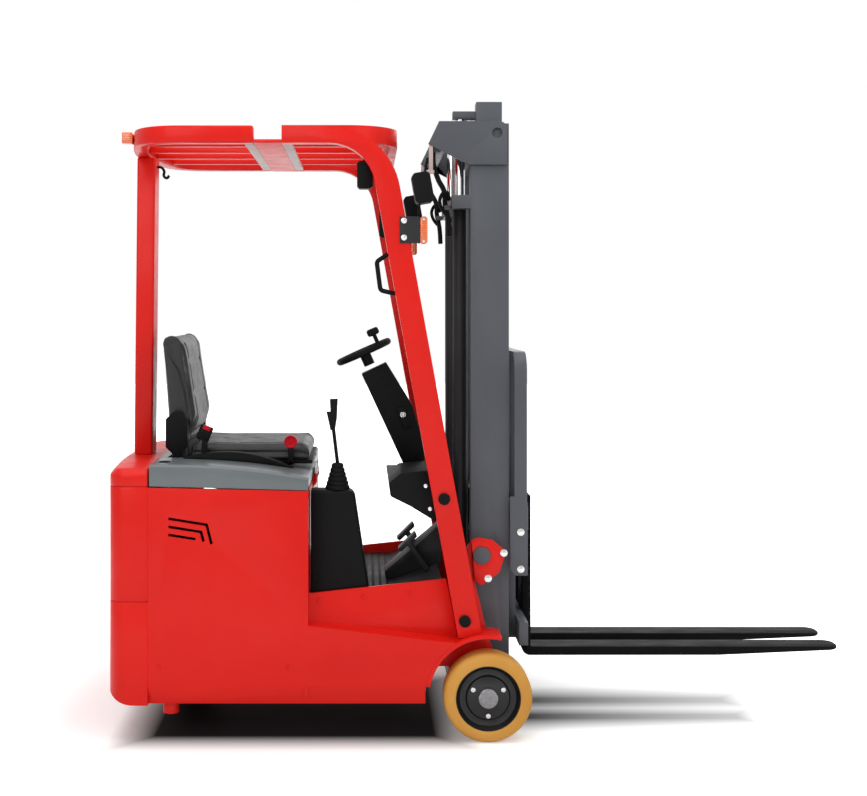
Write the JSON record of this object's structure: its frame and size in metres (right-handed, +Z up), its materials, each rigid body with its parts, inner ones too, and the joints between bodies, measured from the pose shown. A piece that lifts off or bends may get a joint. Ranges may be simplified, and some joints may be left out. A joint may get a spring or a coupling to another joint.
{
  "type": "electric counterbalance forklift",
  "caption": "Compact three-wheel electric counterbalance forklift with a tilting telescopic mast, two forks, an overhead guard and a steered rear drive wheel.",
  "frame": {"origin": "on the floor under the middle of the length and width, which is below the front axle", "axes": "+X towards the fork tips, +Y to the driver's left, +Z up"},
  "size_m": [2.4975, 0.96, 2.09],
  "materials": {
    "body_red": "gloss",
    "mast_grey": "satin",
    "frame_dark": "matt",
    "fork_black": "satin",
    "hood_silver": "satin",
    "black_plastic": "matt",
    "seat_vinyl": "satin",
    "amber_lens": "gloss",
    "tyre_tan": "matt",
    "hub_black": "satin",
    "steel": "brushed",
    "chrome_rod": "polished",
    "ballast": "gloss",
    "battery_case": "satin",
    "strip_grey": "satin",
    "mirror_face": "gloss"
  },
  "bodies": {
    "truck": {"counterweight": "ballast", "rear_cover": "body_red", "body_sides": "body_red", "chassis": "body_red", "fenders": "body_red", "feet": "body_red", "axle_stubs": "steel", "battery": "battery_case", "drive_motor": "frame_dark", "floor_plate": "frame_dark", "side_console": "black_plastic", "dash_console": "black_plastic", "steering_column": "black_plastic", "pedals": "frame_dark", "lever_boot": "black_plastic", "hydraulic_lever": "black_plastic", "guard_front": "body_red", "guard_rear": "body_red", "guard_bars": "body_red", "guard_strips": "strip_grey", "rear_post": "body_red", "trunnion_caps": "body_red", "lamp_brackets": "mast_grey", "indicator_lamps": "amber_lens", "headlights": "black_plastic", "rear_lamps": "amber_lens", "work_lamp": "black_plastic", "mirror": "mirror_face", "grab_handle": "black_plastic"},
    "hood": {"hood": "hood_silver", "seat_base": "black_plastic", "seat_frame": "black_plastic", "seat_cushion": "seat_vinyl", "seat_back": "seat_vinyl", "seat_controls": "black_plastic"},
    "steering_wheel": {"steering_wheel": "black_plastic"},
    "wheel_right": {"tyre_right": "tyre_tan", "hub_right": "hub_black"},
    "wheel_left": {"tyre_left": "tyre_tan", "hub_left": "hub_black"},
    "steer_unit": {"steer_unit": "frame_dark"},
    "rear_wheel": {"tyre_rear": "tyre_tan", "hub_rear": "hub_black"},
    "mast": {"outer_mast": "mast_grey", "head_brackets": "mast_grey", "lift_barrels": "frame_dark", "chain_rear_runs": "steel"},
    "inner_mast": {"inner_mast": "mast_grey", "lift_rods": "chrome_rod", "sheaves": "steel", "chain_tops": "steel", "chain_front_runs": "steel"},
    "carriage": {"carriage": "mast_grey", "carriage_rollers": "steel", "backrest": "mast_grey", "fork_right": "fork_black", "fork_left": "fork_black"},
    "tilt_barrels": {"tilt_barrels": "frame_dark"},
    "tilt_rods": {"tilt_rods": "chrome_rod"}
  },
  "joints": [
    {"name": "right_wheel_spin", "type": "hinge", "parent": "truck", "child": "wheel_right", "pos_m": [0, -0.43, 0.143], "axis": [0, 1, 0], "continuous": true},
    {"name": "left_wheel_spin", "type": "hinge", "parent": "truck", "child": "wheel_left", "pos_m": [0, 0.43, 0.143], "axis": [0, 1, 0], "continuous": true},
    {"name": "rear_steer", "type": "hinge", "parent": "truck", "child": "steer_unit", "pos_m": [-1, 0, 0.28], "axis": [0, 0, 1], "range_deg": [-90, 90]},
    {"name": "rear_wheel_spin", "type": "hinge", "parent": "steer_unit", "child": "rear_wheel", "pos_m": [-1, 0, 0.125], "axis": [0, 1, 0], "continuous": true},
    {"name": "steering_turn", "type": "hinge", "parent": "truck", "child": "steering_wheel", "pos_m": [-0.4, 0, 1.242], "axis": [-0.4067, 0, 0.9135], "range_deg": [-720, 720]},
    {"name": "hood_open", "type": "hinge", "parent": "truck", "child": "hood", "pos_m": [-0.57, 0, 0.815], "axis": [0, 1, 0], "range_deg": [0, 40]},
    {"name": "mast_tilt", "type": "hinge", "parent": "truck", "child": "mast", "pos_m": [-0.012, 0, 0.583], "axis": [0, 1, 0], "range_deg": [-3, 2]},
    {"name": "mast_lift", "type": "slide", "parent": "mast", "child": "inner_mast", "axis": [0, 0, 1], "range_m": [-0.075, 1.25], "deforming": ["chain_rear_runs"]},
    {"name": "carriage_lift", "type": "slide", "parent": "inner_mast", "child": "carriage", "axis": [0, 0, 1], "range_m": [-0.075, 1.25], "deforming": ["chain_front_runs"]},
    {"name": "tilt_barrel_swing", "type": "hinge", "parent": "truck", "child": "tilt_barrels", "pos_m": [-0.43, 0, 0.235], "axis": [0, 1, 0], "range_deg": [-3, 3]},
    {"name": "tilt_rod_slide", "type": "slide", "parent": "tilt_barrels", "child": "tilt_rods", "axis": [1, 0, 0], "range_m": [-0.03, 0.03]}
  ],
  "couplings": [
    {"joint": "carriage_lift", "follows": "mast_lift", "ratio": 1},
    {"joint": "tilt_barrel_swing", "follows": "mast_tilt", "ratio": -0.5036},
    {"joint": "tilt_rod_slide", "follows": "mast_tilt", "m_per_rad": -0.348},
    {"joint": "steering_turn", "follows": "rear_steer", "ratio": -8}
  ]
}
